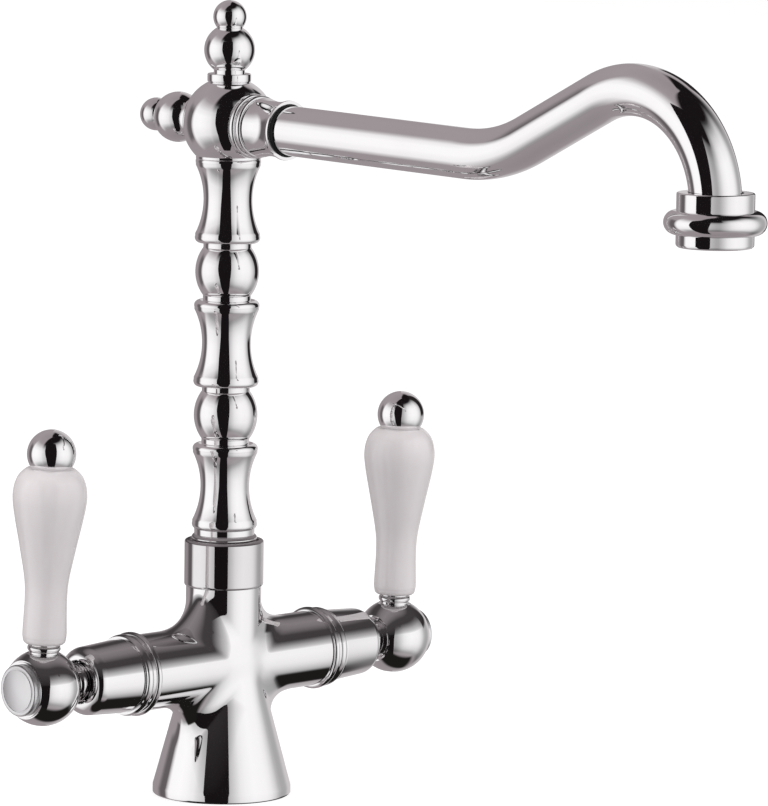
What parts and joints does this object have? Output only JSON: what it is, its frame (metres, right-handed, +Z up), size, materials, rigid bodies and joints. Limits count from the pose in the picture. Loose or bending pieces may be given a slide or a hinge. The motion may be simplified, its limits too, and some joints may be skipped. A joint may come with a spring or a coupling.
{
  "type": "two-lever mixer tap",
  "caption": "Deck-mounted mixer tap with a turned column, a swan-neck spout that swivels, and hot and cold side levers with porcelain handles.",
  "frame": {"origin": "centre of the foot's underside, on the deck", "axes": "+Z up, -Y towards the user and along the spout at rest, X along the lever axis with the hot lever on the user's left at -X"},
  "size_m": [0.2048, 0.3009, 0.293],
  "materials": {
    "chrome_plate": "polished",
    "white_porcelain": "gloss",
    "black_rubber": "matte",
    "nylon": "satin",
    "aerator_mesh": "satin",
    "plain_brass": "satin",
    "disc_ceramic": "satin",
    "steel_rod": "satin",
    "black_screw": "satin"
  },
  "bodies": {
    "body": {"body_casting": "chrome_plate", "base_gasket": "black_rubber", "swivel_bush": "nylon", "collar_nut": "chrome_plate", "left_trim_ring": "chrome_plate", "right_trim_ring": "chrome_plate", "left_valve_shroud": "chrome_plate", "right_valve_shroud": "chrome_plate", "left_valve_body": "plain_brass", "right_valve_body": "plain_brass", "left_valve_seal": "black_rubber", "right_valve_seal": "black_rubber", "left_fixed_disc": "disc_ceramic", "right_fixed_disc": "disc_ceramic"},
    "spout": {"column": "chrome_plate", "column_o_rings": "black_rubber", "spout_hub": "chrome_plate", "top_finial": "chrome_plate", "back_finial": "chrome_plate", "spout_collar": "chrome_plate", "spout_seal_ring": "black_rubber", "spout_tube": "chrome_plate", "aerator_housing": "chrome_plate", "aerator_insert": "aerator_mesh", "aerator_washer": "black_rubber"},
    "left_lever": {"left_turning_disc": "disc_ceramic", "left_spindle": "plain_brass", "left_spindle_o_ring": "black_rubber", "left_lever_hub": "chrome_plate", "left_index_cap": "chrome_plate", "left_neck_ring": "chrome_plate", "left_porcelain_handle": "white_porcelain", "left_handle_rod": "steel_rod", "left_ball_nut": "chrome_plate", "left_grub_screw": "black_screw"},
    "right_lever": {"right_turning_disc": "disc_ceramic", "right_spindle": "plain_brass", "right_spindle_o_ring": "black_rubber", "right_lever_hub": "chrome_plate", "right_index_cap": "chrome_plate", "right_neck_ring": "chrome_plate", "right_porcelain_handle": "white_porcelain", "right_handle_rod": "steel_rod", "right_ball_nut": "chrome_plate", "right_grub_screw": "black_screw"}
  },
  "joints": [
    {"name": "left_lever_turn", "type": "hinge", "parent": "body", "child": "left_lever", "pos_m": [-0.08909, 0, 0.0492], "axis": [1, 0, 0], "range_deg": [0, 90]},
    {"name": "right_lever_turn", "type": "hinge", "parent": "body", "child": "right_lever", "pos_m": [0.08909, 0, 0.0492], "axis": [1, 0, 0], "range_deg": [0, 90]},
    {"name": "spout_swivel", "type": "hinge", "parent": "body", "child": "spout", "pos_m": [0, 0, 0.086], "axis": [0, 0, 1], "continuous": true}
  ]
}
